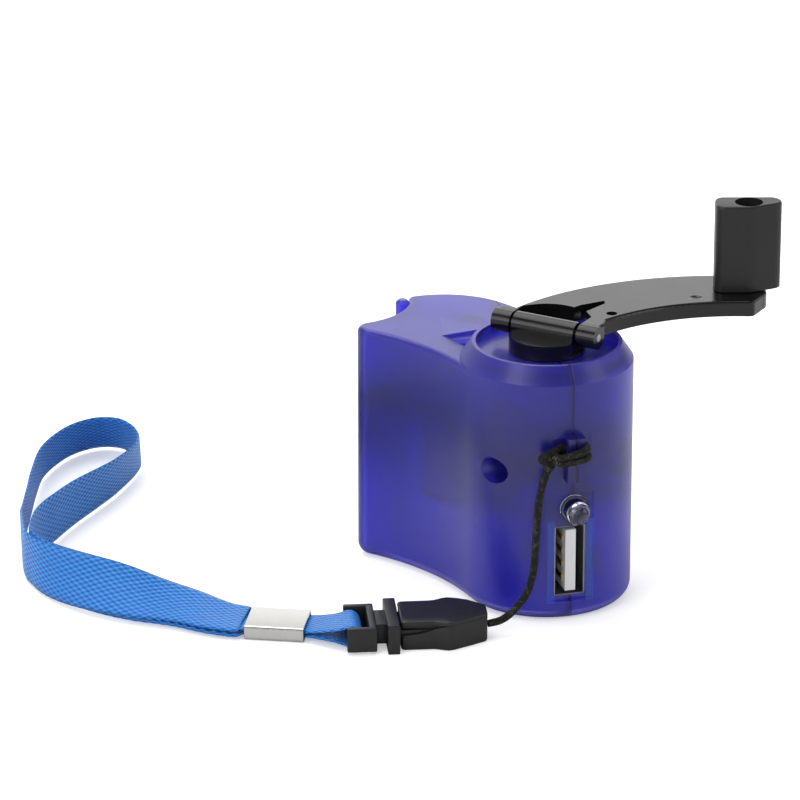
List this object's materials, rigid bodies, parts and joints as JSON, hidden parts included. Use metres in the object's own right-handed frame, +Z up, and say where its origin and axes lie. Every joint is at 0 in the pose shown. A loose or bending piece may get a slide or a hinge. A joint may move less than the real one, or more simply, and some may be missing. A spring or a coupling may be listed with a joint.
{
  "type": "hand crank phone charger",
  "caption": "Pocket phone charger with a folding crank on a clear round-ended case, a turning knob, a USB socket and lamp in front, and a wrist lanyard with a side buckle.",
  "frame": {"origin": "under the crank axis, on the base plane of the case", "axes": "+Z up along the crank axis; -Y out of the USB socket; +X to the right of it; the case halves meet on X = 0"},
  "size_m": [0.1306, 0.108, 0.0662],
  "materials": {
    "clear_case": "frosted clear blue plastic with glossy bevels",
    "black_plastic": "semi gloss",
    "knob_grey": "satin",
    "buckle_black": "semi gloss",
    "steel": "drawn",
    "bright_steel": "bright",
    "nickel": "polished",
    "brass_parts": "turned",
    "gear_white": "natural",
    "plate_grey": "moulded",
    "copper_wire": "enamelled",
    "magnet_grey": "ground",
    "board_green": "solder mask",
    "chip_black": "moulded",
    "tongue_grey": "moulded",
    "gold_contact": "plated",
    "lens_clear": "clear",
    "wire_red": "insulation",
    "cord_olive": "braided",
    "ribbon_blue": "woven"
  },
  "bodies": {
    "housing": {"shell_left": "clear_case", "shell_right": "clear_case", "housing_screw": "steel", "top_bush": "brass_parts", "lower_bush": "brass_parts", "idler_axle_1": "steel", "idler_axle_2": "steel", "gear_plate": "plate_grey", "generator_can": "steel", "generator_cap": "plate_grey", "stator_winding": "copper_wire", "generator_bush": "brass_parts", "generator_screws": "steel", "circuit_board": "board_green", "usb_shell": "bright_steel", "usb_tongue": "tongue_grey", "usb_contacts": "gold_contact", "led_lens": "lens_clear", "led_leads": "steel", "capacitor": "chip_black", "inductor": "copper_wire", "converter_chip": "chip_black", "rectifier_diodes": "chip_black", "generator_leads": "wire_red", "lanyard_cord": "cord_olive", "lanyard_hitch": "cord_olive", "buckle_socket": "buckle_black"},
    "crank": {"crank_hub": "black_plastic", "hinge_pin": "bright_steel", "crank_shaft": "steel", "shaft_clip": "steel", "drive_gear": "gear_white"},
    "arm": {"crank_arm": "black_plastic", "knob_pin": "steel"},
    "knob": {"knob": "knob_grey"},
    "idler_1": {"idler_gear_1": "gear_white"},
    "idler_2": {"idler_gear_2": "gear_white"},
    "rotor": {"rotor_magnet": "magnet_grey", "generator_shaft": "steel", "generator_pinion": "brass_parts"},
    "strap": {"buckle_prong": "buckle_black", "ribbon_crimp": "nickel", "wrist_ribbon": "ribbon_blue"}
  },
  "joints": [
    {"name": "crank_spin", "type": "hinge", "parent": "housing", "child": "crank", "pos_m": [0, 0, 0.045], "axis": [0, 0, 1], "continuous": true},
    {"name": "arm_fold", "type": "hinge", "parent": "crank", "child": "arm", "pos_m": [0, 0, 0.0484], "axis": [0.6972, -0.7169, 0], "range_deg": [0, 180]},
    {"name": "knob_spin", "type": "hinge", "parent": "arm", "child": "knob", "pos_m": [0.03811, 0.00468, 0.058], "axis": [0, 0, 1], "continuous": true},
    {"name": "idler_1_spin", "type": "hinge", "parent": "housing", "child": "idler_1", "pos_m": [-0.0026, 0.01477, 0.037], "axis": [0, 0, 1], "continuous": true},
    {"name": "idler_2_spin", "type": "hinge", "parent": "housing", "child": "idler_2", "pos_m": [-0.00635, 0.02404, 0.035], "axis": [0, 0, 1], "continuous": true},
    {"name": "generator_spin", "type": "hinge", "parent": "housing", "child": "rotor", "pos_m": [-0.008, 0.01469, 0.025], "axis": [0, 0, 1], "continuous": true},
    {"name": "buckle_release", "type": "slide", "parent": "housing", "child": "strap", "axis": [-0.9799, 0.1994, 0], "range_m": [0, 0.013]}
  ],
  "couplings": [
    {"joint": "idler_1_spin", "follows": "crank_spin", "ratio": -4},
    {"joint": "idler_2_spin", "follows": "crank_spin", "ratio": 12},
    {"joint": "generator_spin", "follows": "crank_spin", "ratio": -33.6}
  ]
}
